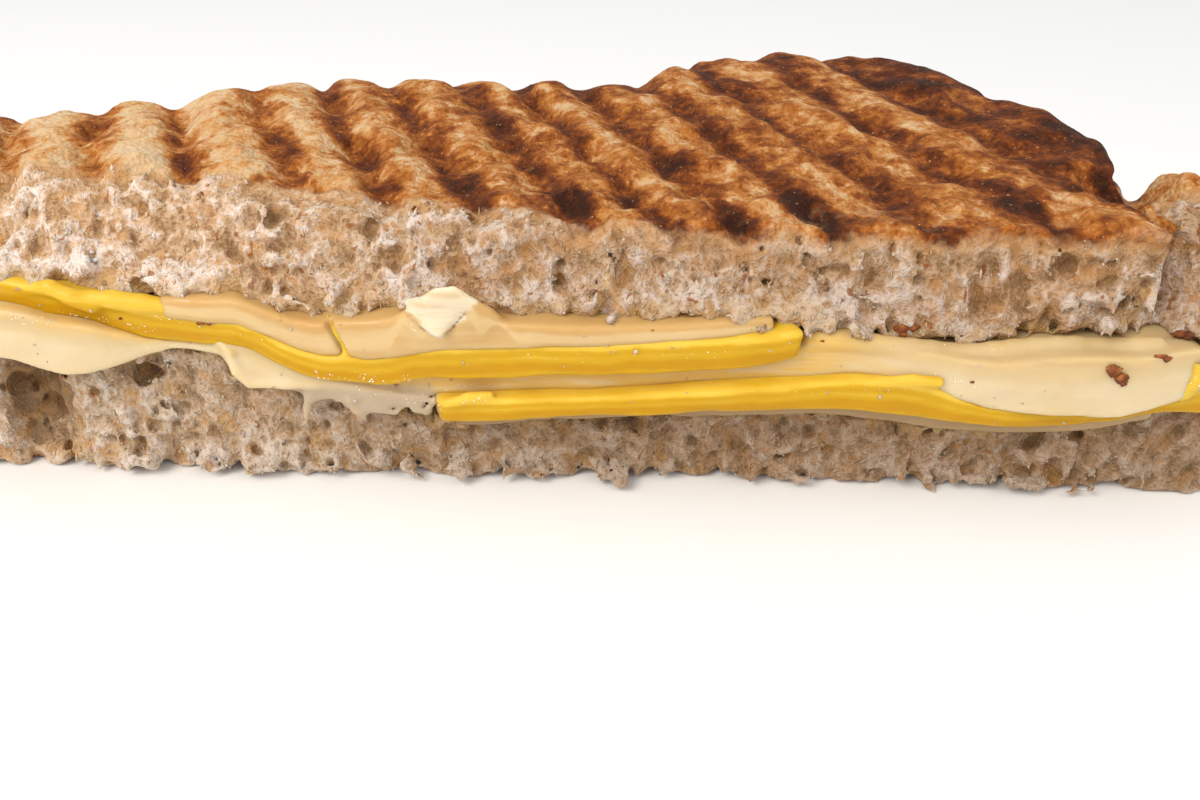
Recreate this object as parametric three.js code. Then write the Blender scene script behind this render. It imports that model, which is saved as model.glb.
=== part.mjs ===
// Half of a grilled cheese sandwich, cut across and pressed in a ridged grill.
// Millimetres, +Z up. X runs along the knife cut, Y goes back to the crust, Z = 0 is the surface
// that the half lies on. Two slices of brown bread hold three white and two yellow cheese slices,
// which run right through and show, melted and bulging, at the cut.

import * as THREE from "three";
import { mergeVertices } from "three/addons/utils/BufferGeometryUtils.js";

// Driving dimensions
const CUT_LENGTH = 160; // along the knife cut
const HEIGHT = 30; // pressed height at the middle and right
const LEFT_RISE = 3.2; // the left end was pressed less
const REAR_RISE = 1.4; // the top climbs by this towards the crust behind
const CREST_RISE = 0.6; // and a little more where the crown of the loaf begins
const CORNER_RISE = 1.4; // the loose corner of crust stands up beyond the tear
const RIDGE_TURN = 22.6; // degrees that the ridges lean to the left as they go back
const RIDGE_PITCH = 9.4; // mean pitch of the ridges, measured along the cut
const TOP_GROOVE = 1.5; // groove depth on top
const CROWN_GROOVE = 1; // and on the wide crown of the loaf, at the right
const UNDER_GROOVE = 0.9; // groove depth underneath
const EDGE_DROP = 3.2; // how far the top falls away at the crust
const EDGE_LIFT = 3; // how far the underside rises at the crust
const EDGE_BAND = 6; // width of that rounded rim
const SIDE_BAND = 3.6; // the rim is tighter along the right-hand crust
const SIDE_SHARE = 0.45; // and falls away less there
const SEAM_HEIGHT = 12.5; // where the two slices meet round the crust
const CRUST_BULGE = 1.4; // the crust swells outwards between its rounded rims
const CRUST_TUCK = 2.0; // and tucks in at its rims
const CRUST_BOW = 2.5; // the right-hand crust bows out by this from the cut to mid depth
const GAP = 0.36; // clearance between one layer and the next
const FILLED_SHARE = 0.85; // how far back the cheese reaches, as a share of the depth

// Where the grooves pressed by the grill meet the cut. They are as uneven as the bread.
const GROOVES = [5.5, 14.5, 23.5, 32.8, 42, 51.5, 62, 71.3, 80.5, 89.8, 98, 105, 114, 124, 135.5, 147];

// Layout of the mesh lines: columns follow the ridges, rows go from the cut to the crust
const COLUMNS_PER_RIDGE = 4;
const ROWS = [0, 0.03, 0.12, 0.2, 0.27, 0.34, 0.42, 0.6, FILLED_SHARE, 0.93, 1];
const CHEESE_ROWS = [0, 0.12, 0.27, 0.6, FILLED_SHARE];
const TOP_LEVELS = [0, 0.3, 0.62, 0.88, 1];
const UNDER_LEVELS = [0, 0.22, 0.6, 1];

const SHEAR = Math.tan(THREE.MathUtils.degToRad(RIDGE_TURN));
const { smoothstep, lerp } = THREE.MathUtils;
const hump = (x, from, to) => Math.sin(Math.PI * THREE.MathUtils.clamp((x - from) / (to - from), 0, 1));

// A smooth height along the cut, through a few [place, value] pairs.
function profile(pairs) {
  const slope = (i) => {
    const before = pairs[Math.max(i - 1, 0)];
    const after = pairs[Math.min(i + 1, pairs.length - 1)];
    return (after[1] - before[1]) / (after[0] - before[0]);
  };
  return (x) => {
    const at = THREE.MathUtils.clamp(x, pairs[0][0], pairs[pairs.length - 1][0]);
    const found = pairs.findIndex((pair) => pair[0] >= at);
    const i = Math.max(found, 1) - 1;
    const [x0, y0] = pairs[i];
    const [x1, y1] = pairs[i + 1];
    const span = x1 - x0;
    const t = (at - x0) / span;
    const start = y0 * (1 + 2 * t) * (1 - t) ** 2 + slope(i) * span * t * (1 - t) ** 2;
    const end = y1 * t * t * (3 - 2 * t) - slope(i + 1) * span * t * t * (1 - t);
    return start + end;
  };
}

// The column lines: ridge by ridge between the grooves, and the same spacing at both ends.
function columnLines() {
  const stops = [0, ...GROOVES, CUT_LENGTH];
  const lines = stops.slice(1).flatMap((stop, n) => {
    const width = stop - stops[n];
    const parts = Math.round((COLUMNS_PER_RIDGE * width) / RIDGE_PITCH);
    return Array.from({ length: parts }, (_, k) => stops[n] + (width * k) / parts);
  });
  return [...lines, CUT_LENGTH];
}
const LINES = columnLines();

// 1 in a groove, 0 on the crest between two.
function grooveAt(u) {
  const next = GROOVES.findIndex((groove) => groove > u);
  if (next === -1) {
    return u - GROOVES.at(-1) > RIDGE_PITCH / 2 ? 0 : crestWave((u - GROOVES.at(-1)) / RIDGE_PITCH);
  }
  const before = next === 0 ? GROOVES[0] - RIDGE_PITCH : GROOVES[next - 1];
  return crestWave((u - before) / (GROOVES[next] - before));
}

function crestWave(share) {
  return 0.5 + 0.5 * Math.cos(2 * Math.PI * share);
}

// Depth from the cut back to the crust, measured on each ridge line: a blunt left tip, the
// waist of the loaf, then its wide crown.
const crustDepth = profile([
  [0, 4], [3, 10], [9.5, 17], [18, 23], [31, 30], [50, 38], [60, 43], [68, 49.5], [77, 53.5],
  [88, 55.3], [103, 54.5], [110, 52.3], [116, 55.6], [124, 62], [132, 67.3], [140, 70.3],
  [149, 72.4], [155, 72.2], [CUT_LENGTH, 69],
]);

// Top of the lower slice at the cut.
const lowerBreadTop = profile([
  [0, 11], [14, 14.6], [29, 16.4], [36, 14.2], [46, 16], [52, 15.4], [57.5, 11.8], [65, 10.6],
  [74, 8], [86, 8.5], [99, 9.3], [114, 10], [127, 8.2], [141, 8.4], [152, 11.2], [CUT_LENGTH, 12.2],
]);

// Thickness of each cheese layer at the cut, nought where it is missing.
const whiteLowerThickness = profile([
  [66, 0], [68, 0], [74, 1.2], [90, 1.4], [112, 1.4], [125, 2], [134, 1.4], [147, 1.3], [151.5, 0], [154, 0],
]);
const yellowRightThickness = profile([
  [65, 0], [67.5, 0], [73.5, 2.2], [90, 2.2], [107, 2.7], [122, 3.6], [128, 2.2], [137, 2.2],
  [142, 1.4], [147, 1.7], [151.5, 3.2], [154, 2.4], [158, 0], [CUT_LENGTH, 0],
]);
const whiteMiddleThickness = profile([
  [0, 0], [4, 1.4], [12, 2.6], [24, 3.6], [33, 5.8], [38, 5.2], [45, 1.5], [51, 1.4], [56, 3.6],
  [62, 2.8], [68, 3.4], [74, 2.9], [90, 2.7], [107, 2.5], [113, 3.9], [121, 3.2], [127, 4.6], [133, 6.2],
  [142, 6.6], [149, 5], [152.5, 2.4], [157, 0], [CUT_LENGTH, 0],
]);
const yellowLeftThickness = profile([
  [0, 0], [4, 1.3], [10, 2.2], [30, 2.4], [41, 3.2], [52, 2.8], [61, 2.4], [70, 3.2], [91, 3.2],
  [111, 2.7], [117, 0], [120, 0],
]);
const whiteUpperThickness = profile([
  [38, 0], [40, 0], [45.5, 1.5], [52, 2.2], [60, 3.4], [67, 4.2], [74, 3.4], [84, 2.2], [97, 1.7],
  [108, 1.3], [114, 0], [118, 0],
]);

// The layers from the lower slice upwards. from and to are where each begins and ends on the
// cut; bulge is how far it stands out of the cut there.
const cheeseLayers = [
  {
    name: "white_cheese_lower", thickness: whiteLowerThickness, from: 74, to: 147,
    bulge: () => 0.8, material: whiteCheese(),
  },
  {
    name: "yellow_cheese_right", thickness: yellowRightThickness, from: 73, to: 154.5,
    bulge: (u) => 2.4 - 0.9 * smoothstep(u, 126, 142), material: yellowCheese(),
  },
  {
    name: "white_cheese_middle", thickness: whiteMiddleThickness, from: 5.5, to: 151.5,
    bulge: (u) => 0.6 + 2.6 * hump(u, 12, 47) + 2.4 * hump(u, 118, 154), material: whiteCheese(),
  },
  {
    name: "yellow_cheese_left", thickness: yellowLeftThickness, from: 5.5, to: 111,
    bulge: (u) => 1.0 + 1.2 * smoothstep(u, 48, 66), material: yellowCheese(),
  },
  {
    name: "white_cheese_upper", thickness: whiteUpperThickness, from: 46, to: 108.5,
    bulge: (u) => 1.0 + 1.4 * hump(u, 46, 108), material: creamCheese(), flake: true,
  },
];

// The torn flake that stands up in front of the crumb, on the upper white slice.
const FLAKE = { from: 70.5, to: 80, height: 4.2, lift: 0.9 };

function breadCrust() {
  return new THREE.MeshStandardMaterial({ color: 0xb9824c, roughness: 0.9, metalness: 0 });
}

function whiteCheese() {
  return new THREE.MeshStandardMaterial({ color: 0xe9dcbd, roughness: 0.35, metalness: 0 });
}

function creamCheese() {
  return new THREE.MeshStandardMaterial({ color: 0xf1d9a0, roughness: 0.4, metalness: 0 });
}

function yellowCheese() {
  return new THREE.MeshStandardMaterial({ color: 0xedb41c, roughness: 0.4, metalness: 0 });
}

// The ridge line that the right-hand crust lies on at depth y: it runs along the ridges and
// bows out behind the cut.
const BOW_DEPTH = 22;
const rightCrust = (y) => CUT_LENGTH + CRUST_BOW * smoothstep(y, 0, BOW_DEPTH);

// Near its right-hand corner a tear runs across the upper slice, from the cut to the crust. It
// bends to the right and opens as it goes back, and leaves a loose corner of crust beyond it.
const TEAR = { depth: 5.6, start: 148, bend: 0.0208, halfWidth: 1.4, opens: 12, widening: 0.25, reach: 34 };
function tearDepth(u, y) {
  const middle = TEAR.start + TEAR.bend * y * y;
  const halfWidth = TEAR.halfWidth + TEAR.widening * Math.max(y - TEAR.opens, 0);
  const across = 1 - smoothstep(Math.abs(u - middle), 0.4 * halfWidth, halfWidth);
  return TEAR.depth * across * (1 - smoothstep(y, 0.8 * TEAR.reach, TEAR.reach));
}

function cornerRise(u, y) {
  const beyond = u - TEAR.start - TEAR.bend * y * y;
  const along = smoothstep(y, 7, 13) * (1 - smoothstep(y, 0.7 * TEAR.reach, TEAR.reach));
  return CORNER_RISE * smoothstep(beyond, 0.5, 3) * along;
}

// A point of the sandwich from its ridge line u, its depth y and its height z. The lines beyond
// RIM_START fan out to follow the right-hand crust.
const RIM_START = 147;
function place(u, y, z) {
  const spread = (rightCrust(y) - RIM_START) / (CUT_LENGTH - RIM_START);
  const line = u <= RIM_START ? u : RIM_START + (u - RIM_START) * spread;
  return new THREE.Vector3(line - SHEAR * y, y, z);
}

// How far a point lies within the rounded rim at the crust: 1 at the crust behind, 0 inside.
function rimShare(u, v) {
  const back = 1 - smoothstep((1 - v) * crustDepth(u), 0, EDGE_BAND);
  const side = SIDE_SHARE * (1 - smoothstep(CUT_LENGTH - u, 0, SIDE_BAND));
  return Math.max(back, side);
}

// 1 where the layers have their full thickness, 0 at the crust, where the slices meet.
const fullness = (v) => smoothstep(1 - v, 0, 0.2);

// Heights of the layer boundaries: level 0 is the top of the lower slice, level 5 the bottom
// of the upper one.
function boundary(u, v, level) {
  const full = fullness(v);
  const below = cheeseLayers.slice(0, level);
  const cheese = below.reduce((sum, layer) => sum + layer.thickness(u), 0);
  return lerp(SEAM_HEIGHT, lowerBreadTop(u), full) + Math.max(cheese, 0) * full;
}

// How far the top climbs towards the crust behind. It starts with a step beside the worn left end.
function rearRise(u, v) {
  const along = smoothstep(u, 52.5, 56.5) * (1 - smoothstep(u, 138, 150));
  return (REAR_RISE + CREST_RISE * hump(u, 104, 130)) * along * smoothstep(v, 0.3, 0.8);
}

function topSurface(u, v) {
  const pressed = HEIGHT + LEFT_RISE * (1 - smoothstep(u, 32, 92)) + rearRise(u, v);
  const rounded = EDGE_DROP * rimShare(u, v);
  const worn = 1.2 * (1 - smoothstep(u, 60, 100)) * (1 - smoothstep(v, 0, 0.12));
  const torn = tearDepth(u, v * crustDepth(u)) - cornerRise(u, v * crustDepth(u));
  const groove = lerp(TOP_GROOVE, CROWN_GROOVE, smoothstep(u, 98, 122));
  return pressed - rounded - worn - torn - groove * grooveAt(u) ** 2;
}

// The lands between the grooves underneath are flat, so the half rests on them.
function underSurface(u, v) {
  const rounded = EDGE_LIFT * rimShare(u, v);
  return rounded + UNDER_GROOVE * smoothstep(grooveAt(u), 0.55, 1);
}

// Crags of the torn crumb on the cut.
function crags(u, z) {
  const coarse = Math.sin(0.52 * u + 1.3) * Math.sin(0.41 * z + 0.3 * u);
  const fine = Math.sin(1.73 * u - 0.9 * z) * Math.cos(1.1 * z + 0.6 * u);
  return 0.45 * coarse + 0.45 * fine;
}

// How far back the cut of the upper slice stands: it leans at the worn left end, and the
// corner at the right is torn back in a narrow cleft.
function upperCut(u, z) {
  const lean = 3.6 * (1 - smoothstep(u, 50, 95)) * smoothstep(z, 23, 32);
  const cleft = 5 * hump(u, 146, 152) * smoothstep(z, 19, 21);
  return 0.9 + crags(u, z) + lean + cleft;
}

// The lower slice has one deep hollow near its left end.
function lowerCut(u, z) {
  const hollow = 4.5 * hump(u, 25.5, 35) * hump(z, 0.5, 15.5);
  return 0.7 + crags(u + 40, z) + hollow;
}

// A closed block of columns, rows and levels, with each corner put in place by shape(i, j, k).
function block(columns, rows, levels, shape) {
  const box = new THREE.BoxGeometry(columns, rows, levels, columns, rows, levels);
  box.deleteAttribute("normal");
  box.deleteAttribute("uv");
  box.translate(columns / 2, rows / 2, levels / 2);
  const solid = mergeVertices(box, 1e-4);
  const position = solid.getAttribute("position");
  for (let n = 0; n < position.count; n += 1) {
    const [i, j, k] = [position.getX(n), position.getY(n), position.getZ(n)].map(Math.round);
    const point = shape(i, j, k);
    position.setXYZ(n, point.x, point.y, point.z);
  }
  solid.computeVertexNormals();
  return solid;
}

// One slice of bread, between the surfaces low(u, v) and high(u, v).
function breadSlice(name, levels, low, high, cut, tuck) {
  const columns = LINES.length - 1;
  const geometry = block(columns, ROWS.length - 1, levels.length - 1, (i, j, k) => {
    const u = LINES[i];
    const v = ROWS[j];
    const share = levels[k];
    const z = lerp(low(u, v), high(u, v), share);
    const swell = CRUST_BULGE * hump(share, 0, 1) - CRUST_TUCK * tuck(share);
    const depth = crustDepth(u) + (i > 0 && i < columns ? swell : 0);
    const front = Math.min(cut(u, z), 0.35 * crustDepth(u));
    const y = lerp(front, depth, v);
    const point = place(u, y, z);
    point.x += i === columns ? swell : 0;
    return point;
  });
  const mesh = new THREE.Mesh(geometry, breadCrust());
  mesh.name = name;
  return mesh;
}

function lowerSlice() {
  const high = (u, v) => boundary(u, v, 0) - GAP / 2;
  const tuck = (share) => (1 - share) ** 4;
  return breadSlice("bread_bottom", UNDER_LEVELS, underSurface, high, lowerCut, tuck);
}

function upperSlice() {
  const low = (u, v) => boundary(u, v, cheeseLayers.length) + GAP / 2;
  const tuck = (share) => share ** 4;
  return breadSlice("bread_top", TOP_LEVELS, low, topSurface, upperCut, tuck);
}

// One cheese slice, number n from the bottom, which fills the space between its boundaries
// and bulges out of the cut.
function cheeseSlice(layer, n) {
  const lines = LINES.filter((u) => u >= layer.from && u <= layer.to);
  const rows = layer.flake ? [0, 0, ...CHEESE_ROWS.slice(1)] : CHEESE_ROWS;
  const geometry = block(lines.length - 1, rows.length - 1, 1, (i, j, k) => {
    const u = lines[i];
    const v = rows[j];
    const z = boundary(u, v, n + k) + (k === 0 ? GAP / 2 : -GAP / 2);
    const standsUp = layer.flake && j === 0 && k === 1 ? hump(u, FLAKE.from, FLAKE.to) : 0;
    if (j > 0) {
      return place(u, v === 0 ? -GAP : v * crustDepth(u), z);
    }
    return place(u, -layer.bulge(u) - FLAKE.lift * standsUp, z + FLAKE.height * standsUp);
  });
  const mesh = new THREE.Mesh(geometry, layer.material);
  mesh.name = layer.name;
  return mesh;
}

const sandwich = new THREE.Group();
sandwich.add(lowerSlice());
cheeseLayers.forEach((layer, n) => sandwich.add(cheeseSlice(layer, n)));
sandwich.add(upperSlice());

// The origin is under the middle of the whole, on the surface that it lies on.
const bounds = new THREE.Box3().setFromObject(sandwich);
const middle = bounds.getCenter(new THREE.Vector3());
sandwich.position.set(-middle.x, -middle.y, -bounds.min.z);
sandwich.updateMatrixWorld(true);

export default sandwich;
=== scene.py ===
# Half of a grilled cheese sandwich: two slices of ridged toast and five melted slices of cheese,
# dressed on the solids of the frame. Lengths are in millimetres until a mesh is made.

import math

import bmesh
import bpy
import numpy as np
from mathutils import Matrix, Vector
from mathutils.bvhtree import BVHTree
from numpy.random import default_rng


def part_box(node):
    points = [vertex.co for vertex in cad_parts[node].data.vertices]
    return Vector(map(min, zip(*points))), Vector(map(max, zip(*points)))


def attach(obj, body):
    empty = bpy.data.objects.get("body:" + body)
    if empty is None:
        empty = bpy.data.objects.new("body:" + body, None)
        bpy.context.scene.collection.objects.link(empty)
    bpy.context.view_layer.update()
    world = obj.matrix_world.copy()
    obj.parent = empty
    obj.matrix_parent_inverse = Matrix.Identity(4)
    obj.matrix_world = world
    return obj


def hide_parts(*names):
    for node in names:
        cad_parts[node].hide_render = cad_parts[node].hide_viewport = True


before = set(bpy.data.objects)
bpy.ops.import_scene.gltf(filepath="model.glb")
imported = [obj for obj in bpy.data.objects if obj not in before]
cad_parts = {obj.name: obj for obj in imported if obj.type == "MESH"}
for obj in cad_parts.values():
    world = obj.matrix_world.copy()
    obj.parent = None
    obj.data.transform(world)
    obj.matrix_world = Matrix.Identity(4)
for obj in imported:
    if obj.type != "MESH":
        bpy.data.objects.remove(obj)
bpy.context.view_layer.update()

# ---- the sandwich's own sizes

TIP_X = -79.609  # left end of the cut
CUT_Y = -35.309  # the knife cut
RIDGE_SLANT = math.tan(math.radians(22.6))  # the grill ridges lean left as they go back
RIDGE_PITCH = 9.4
GROOVES = [5.5, 14.5, 23.5, 32.8, 42, 51.5, 62, 71.3, 80.5, 89.8, 98, 105, 114, 124, 135.5, 147]
MM = 0.001
# Spacing at which the distance to a solid is measured, along x, y and z.
BREAD_LATTICE = (1.2, 1.3, 1)
CHEESE_LATTICE = (0.9, 0.7, 0.42)
SWELL = 0.34  # how far melted cheese stands out of its solid, to meet its neighbours


def rising(value, low, high):
    """0 below low, rising smoothly to 1 above high."""
    share = np.clip((value - low) / (high - low), 0, 1)
    return share * share * (3 - 2 * share)


def fading(value, low, high):
    """1 below low, falling smoothly to 0 above high."""
    return 1 - rising(value, low, high)


# ---- grids and smooth relief


def graded_lines(start, fine_until, end, fine, coarse, growth=1.12):
    """Grid lines with fine steps at first, which then grow to coarse ones."""
    lines = list(np.arange(start, fine_until, fine))
    step = fine
    while lines[-1] < end:
        step = min(step * growth, coarse)
        lines.append(lines[-1] + step)
    return np.array(lines)


def spline_rows(points, knots):
    """Weights that carry values on evenly spaced knots smoothly to the points."""
    place = (points - knots[0]) / (knots[1] - knots[0])
    cell = np.floor(place).astype(int)
    t = place - cell
    shares = [
        (1 - t) ** 3 / 6,
        (3 * t**3 - 6 * t**2 + 4) / 6,
        (-3 * t**3 + 3 * t**2 + 3 * t + 1) / 6,
        t**3 / 6,
    ]
    rows = np.zeros((len(points), len(knots)), np.float32)
    for offset, share in zip((-1, 0, 1, 2), shares):
        knot = np.clip(cell + offset, 0, len(knots) - 1)
        np.add.at(rows, (np.arange(len(points)), knot), share)
    return rows


def carried(values, knots, axes):
    """Values on the knots, carried smoothly to every point of the axes."""
    for n, axis in enumerate(axes):
        rows = spline_rows(axis, knots[n])
        values = np.moveaxis(np.tensordot(rows, values, (1, n)), 0, n)
    return values


def sharpened(values):
    """Knot values whose spline runs through the given values instead of rounding them off."""
    result = values.copy()
    for _ in range(3):
        drawn = result
        for n, count in enumerate(values.shape):
            ends = [(1, 1) if m == n else (0, 0) for m in range(values.ndim)]
            padded = np.pad(drawn, ends, mode="edge")
            before, after = [np.take(padded, range(k, k + count), n) for k in (0, 2)]
            drawn = (before + 4 * drawn + after) / 6
        result = result + values - drawn
    return result


def rumple(axes, size, seed):
    """Smooth random relief of about -1 to 1, with features of the given size."""
    knots = [np.arange(axis[0] - 2 * s, axis[-1] + 3 * s, s) for axis, s in zip(axes, size)]
    shape = [len(k) for k in knots]
    values = default_rng(seed).standard_normal(shape).astype(np.float32)
    return carried(values, knots, axes) * 3.0 ** (len(axes) / 3)


def web(axes, size, seed):
    """Thin uneven walls round small cells: 1 on a wall, below nought inside a cell."""
    return 1 - 1.6 * np.abs(rumple(axes, size, seed))


def mottled(u, v, size, seed):
    """Smooth random values of about -1 to 1 at scattered points u, v."""
    knots = [np.arange(a.min() - 2 * s, a.max() + 3 * s, s) for a, s in zip((u, v), size)]
    values = default_rng(seed).standard_normal([len(k) for k in knots])
    return 2.1 * ((spline_rows(u, knots[0]) @ values) * spline_rows(v, knots[1])).sum(1)


def at(along, front, height):
    """A place from its distance along the cut, its reach in front of the cut and its height."""
    return np.array([TIP_X + along, CUT_Y - front, height], float)


def near_block(axes, low, high):
    """The part of the grid between two corners, and its x, y, z."""
    spans = [slice(*np.searchsorted(a, (l, h))) for a, l, h in zip(axes, low, high)]
    return tuple(spans), np.meshgrid(*[a[s] for a, s in zip(axes, spans)], indexing="ij", sparse=True)


def add_strand(field, axes, stops, blend=0.5, rough=None):
    """Joins a round strand through (place, radius) stops softly to the field."""
    for (start, thin), (end, thick) in zip(stops, stops[1:]):
        reach = max(thin, thick) + 2 * blend + 1
        low, high = np.minimum(start, end) - reach, np.maximum(start, end) + reach
        block, (x, y, z) = near_block(axes, low, high)
        way = end - start
        length = max(way @ way, 1e-9)
        share = ((x - start[0]) * way[0] + (y - start[1]) * way[1] + (z - start[2]) * way[2]) / length
        share = np.clip(share, 0, 1)
        gaps = [axis - start[n] - share * way[n] for n, axis in enumerate((x, y, z))]
        wall = np.sqrt(sum(gap * gap for gap in gaps)) - thin - share * (thick - thin)
        if rough is not None:
            wall = wall + rough[block]
        old = field[block]
        mix = np.clip(0.5 + 0.5 * (old - wall) / blend, 0, 1)
        field[block] = old + (wall - old) * mix - blend * mix * (1 - mix)


def cut_slit(field, axes, start, end, width, depth):
    """Cuts a slit of some width and depth into the front, from start to end."""
    reach = width + 1.5
    low, high = np.minimum(start, end) - reach, np.maximum(start, end) + reach
    low[1], high[1] = CUT_Y - 8, CUT_Y - depth + 2
    block, (x, y, z) = near_block(axes, low, high)
    way = (end - start)[[0, 2]]
    share = np.clip(((x - start[0]) * way[0] + (z - start[2]) * way[1]) / (way @ way), 0, 1)
    away = np.hypot(x - start[0] - share * way[0], z - start[2] - share * way[1])
    hollow = np.maximum(away - width, y - (CUT_Y - depth))
    field[block] = np.maximum(field[block], -hollow)


# ---- distance to a solid


def vectors(mesh, key, kind=float):
    """The place or the normal of each point of a mesh."""
    values = np.empty(3 * len(mesh.vertices), kind)
    mesh.vertices.foreach_get(key, values)
    return values.reshape(-1, 3)


def surface_tree(mesh, kind=float):
    """Finds places on the surface of a mesh, in mm."""
    points = vectors(mesh, "co", kind) / MM
    return BVHTree.FromPolygons(points.tolist(), [list(p.vertices) for p in mesh.polygons])


class Solid:
    """A node's solid: its distance field, and the heights of its top and underside."""

    FAR = 5.0  # no distance is measured beyond this
    BELOW = -5.0  # under every solid
    NUDGE = (0.013, 0.007)  # keeps an upright line off the solid's own edges
    BATCH = 500  # places whose distance to the crust is worked out at once

    def __init__(self, node, axes, step):
        tree = surface_tree(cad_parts[node].data, np.float32)
        knots = [np.arange(a[0] - s, a[-1] + 2 * s, s) for a, s in zip(axes, step)]
        values = np.empty([len(k) for k in knots], np.float32)
        top = np.full(values.shape[:2], np.nan)
        under = np.full(values.shape[:2], np.nan)
        for i, x in enumerate(knots[0]):
            for j, y in enumerate(knots[1]):
                crossed = self.crossings(tree, x + self.NUDGE[0], y + self.NUDGE[1])
                if crossed:
                    under[i, j], top[i, j] = crossed[0], crossed[-1]
                for k, z in enumerate(knots[2]):
                    near = tree.find_nearest((x, y, z), self.FAR)
                    away = self.FAR if near[0] is None else near[3]
                    within = sum(c < z for c in crossed) % 2
                    values[i, j, k] = -away if within else away
        self.outside = np.isnan(top)
        self.plan = knots[:2]
        self.distance = carried(sharpened(values), knots, axes)
        self.top = carried(sharpened(self.filled(top)), self.plan, axes[:2])
        self.under = carried(sharpened(self.filled(under)), self.plan, axes[:2])
        self.crust = carried(self.crust_distance(), self.plan, axes[:2])

    def crossings(self, tree, x, y):
        """Heights at which an upright line passes through the solid's surface."""
        heights = []
        start = self.BELOW
        while True:
            hit = tree.ray_cast((x, y, start), (0, 0, 1))
            if hit[0] is None:
                return heights
            heights.append(hit[0].z)
            start = hit[0].z + 1e-3

    @staticmethod
    def filled(heights):
        """The heights, spread over the empty places round them."""
        filled = heights.copy()
        while np.isnan(filled).any():
            padded = np.pad(filled, 1, constant_values=np.nan)
            sides = [padded[:-2, 1:-1], padded[2:, 1:-1], padded[1:-1, :-2], padded[1:-1, 2:]]
            known = [np.where(np.isnan(s), 0, s) for s in sides]
            count = sum((~np.isnan(s)).astype(int) for s in sides)
            spread = sum(known) / np.maximum(count, 1)
            empty = np.isnan(filled) & (count > 0)
            filled[empty] = spread[empty]
        return filled

    def crust_distance(self):
        """How far each place of the plan is from the crust, behind the cut."""
        x, y = np.meshgrid(*self.plan, indexing="ij")
        rim = self.outside & ((y > CUT_Y + 1.5) | (x < TIP_X - 2))
        rim_points = np.stack([x[rim], y[rim]], 1)
        away = np.zeros(x.shape)
        places = np.argwhere(~rim)
        here = np.stack([x[~rim], y[~rim]], 1)
        for start in range(0, len(here), self.BATCH):
            block = here[start : start + self.BATCH]
            gap = np.linalg.norm(block[:, None] - rim_points[None], axis=2).min(1)
            rows = places[start : start + self.BATCH]
            away[rows[:, 0], rows[:, 1]] = gap
        return away


# ---- skin of a field

CORNERS = [(i, j, k) for i in (0, 1) for j in (0, 1) for k in (0, 1)]
CELL_EDGES = [(a, a ^ step) for a in range(8) for step in (1, 2, 4) if a < a ^ step]


def edges_of(triangles):
    """The start and end point of every edge."""
    return triangles.ravel(), triangles[:, [1, 2, 0]].ravel()


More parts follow.
